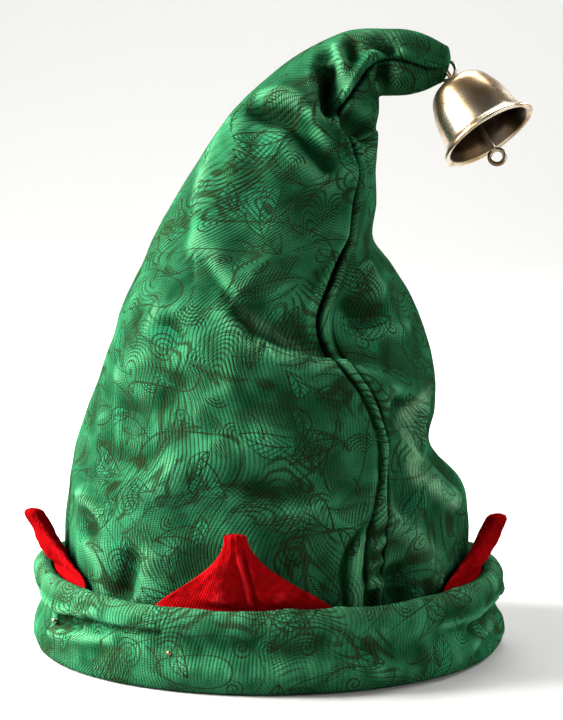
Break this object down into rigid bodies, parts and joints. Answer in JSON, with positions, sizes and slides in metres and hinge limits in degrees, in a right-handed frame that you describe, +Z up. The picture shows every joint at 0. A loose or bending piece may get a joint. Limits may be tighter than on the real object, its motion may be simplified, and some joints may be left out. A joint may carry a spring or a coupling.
{
  "type": "elf hat",
  "caption": "Tall soft cone hat with a bent tip and a brass bell, a padded turned-up cuff and red cloth points standing in the cuff's pocket. It rests upright on its cuff.",
  "frame": {"origin": "middle of the whole hat's box, on the surface that the cuff stands on", "axes": "+Z up along the hat's height, -Y towards the front, +X towards the side that the tip falls to"},
  "size_m": [0.2324, 0.2234, 0.2874],
  "materials": {
    "green_cord": "printed green needlecord with a soft nap and a light sheen on its folds",
    "red_cloth": "thick ribbed red cloth, matt with a soft sheen",
    "brass": "polished antique brass, slightly worn"
  },
  "bodies": {
    "hat": {"crown": "green_cord", "cuff": "green_cord", "point_front": "red_cloth", "point_right": "red_cloth", "point_back_right": "red_cloth", "point_back_left": "red_cloth", "point_left": "red_cloth", "cuff_stud_front": "brass", "cuff_stud_left": "brass", "bell": "brass", "bell_ring": "brass"},
    "clapper": {"bell_clapper": "brass"}
  },
  "joints": [
    {"name": "clapper_swing", "type": "hinge", "parent": "hat", "child": "clapper", "pos_m": [0.08296, -0.00397, 0.25909], "axis": [0.214, 0.9205, -0.327], "range_deg": [-33, 26]}
  ]
}
